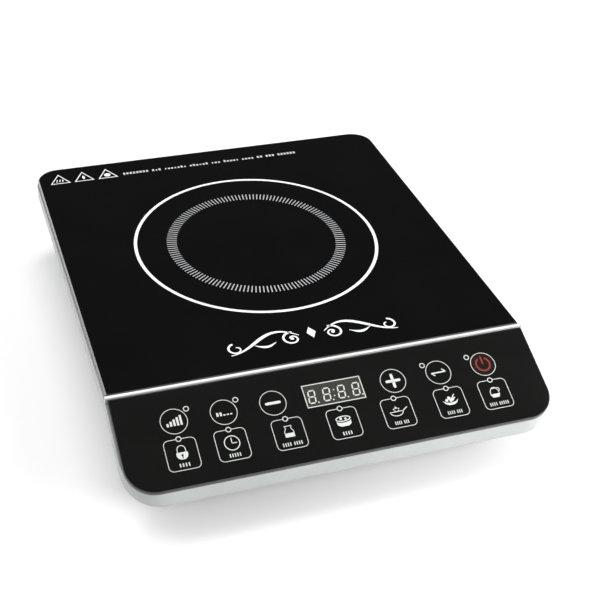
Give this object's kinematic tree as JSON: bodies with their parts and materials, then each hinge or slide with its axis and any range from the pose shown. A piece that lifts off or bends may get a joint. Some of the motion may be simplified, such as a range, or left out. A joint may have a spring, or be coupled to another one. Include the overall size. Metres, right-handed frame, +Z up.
{
  "type": "induction cooktop",
  "caption": "Portable single-zone induction cooktop: black glass top over a sloping touch panel in a silver frame, with coil, electronics and a turning fan inside.",
  "frame": {"origin": "centre of the outline on the surface the feet stand on", "axes": "+Z up, -Y towards the sloping control panel (front), +X to the user's right"},
  "size_m": [0.289, 0.3546, 0.0635],
  "materials": {
    "black_glass": "polished black glass-ceramic",
    "panel_black": "polished black panel",
    "silver_plastic": "satin silver paint",
    "strip_chrome": "bright satin",
    "black_plastic": "fine matte texture",
    "silicone": "matte",
    "silicone_light": "matte",
    "rubber_black": "matte",
    "steel": "zinc plated",
    "copper": "enamelled copper wire",
    "phenolic": "heat-resistant plastic",
    "ferrite": "matt grey-black ferrite",
    "mica": "pressed mica",
    "aluminium": "extruded",
    "pcb": "green solder mask",
    "chip_black": "moulded epoxy",
    "cap_blue": "blue film-capacitor case",
    "cap_yellow": "yellow case",
    "cap_sleeve": "printed sleeve, no print",
    "tape_yellow": "polyester tape",
    "brass": "machined",
    "fuse_ceramic": "glazed",
    "nylon_white": "nylon",
    "led_lens": "diffused lens",
    "display_face": "dark olive-brown display face"
  },
  "bodies": {
    "housing": {"top_glass": "black_glass", "control_panel": "panel_black", "divider_strip": "strip_chrome", "upper_housing": "silver_plastic", "glass_seal": "silicone", "panel_seal": "silicone", "lower_housing": "black_plastic", "inlet_plate": "black_plastic", "rubber_feet": "rubber_black", "housing_screws": "steel", "cord_gland": "rubber_black", "induction_coil": "copper", "coil_carrier": "phenolic", "ferrite_bars": "ferrite", "mica_sheet": "mica", "sensor_holder": "silicone_light", "temp_sensor": "aluminium", "coil_screws": "steel", "main_board": "pcb", "board_screws": "steel", "heatsink": "aluminium", "igbt": "chip_black", "bridge_rectifier": "chip_black", "resonant_capacitor": "cap_blue", "filter_capacitor": "cap_yellow", "suppression_capacitor": "cap_yellow", "electrolytic_capacitors": "cap_sleeve", "choke_core": "ferrite", "choke_winding": "copper", "transformer_core": "ferrite", "transformer_winding": "tape_yellow", "line_fuse": "fuse_ceramic", "coil_terminals": "brass", "board_connectors": "nylon_white", "board_chips": "chip_black", "buzzer": "chip_black", "fan_frame": "black_plastic", "fan_bearing": "brass", "fan_stator": "copper", "fan_screws": "steel", "control_board": "pcb", "control_screws": "steel", "led_display": "display_face", "indicator_leds": "led_lens", "touch_springs": "steel", "ribbon_cable": "nylon_white"},
    "fan": {"fan_rotor": "black_plastic", "fan_magnet": "ferrite"}
  },
  "joints": [
    {"name": "fan_spin", "type": "hinge", "parent": "housing", "child": "fan", "pos_m": [-0.062, 0.092, 0.02], "axis": [0, 0, 1], "continuous": true}
  ]
}
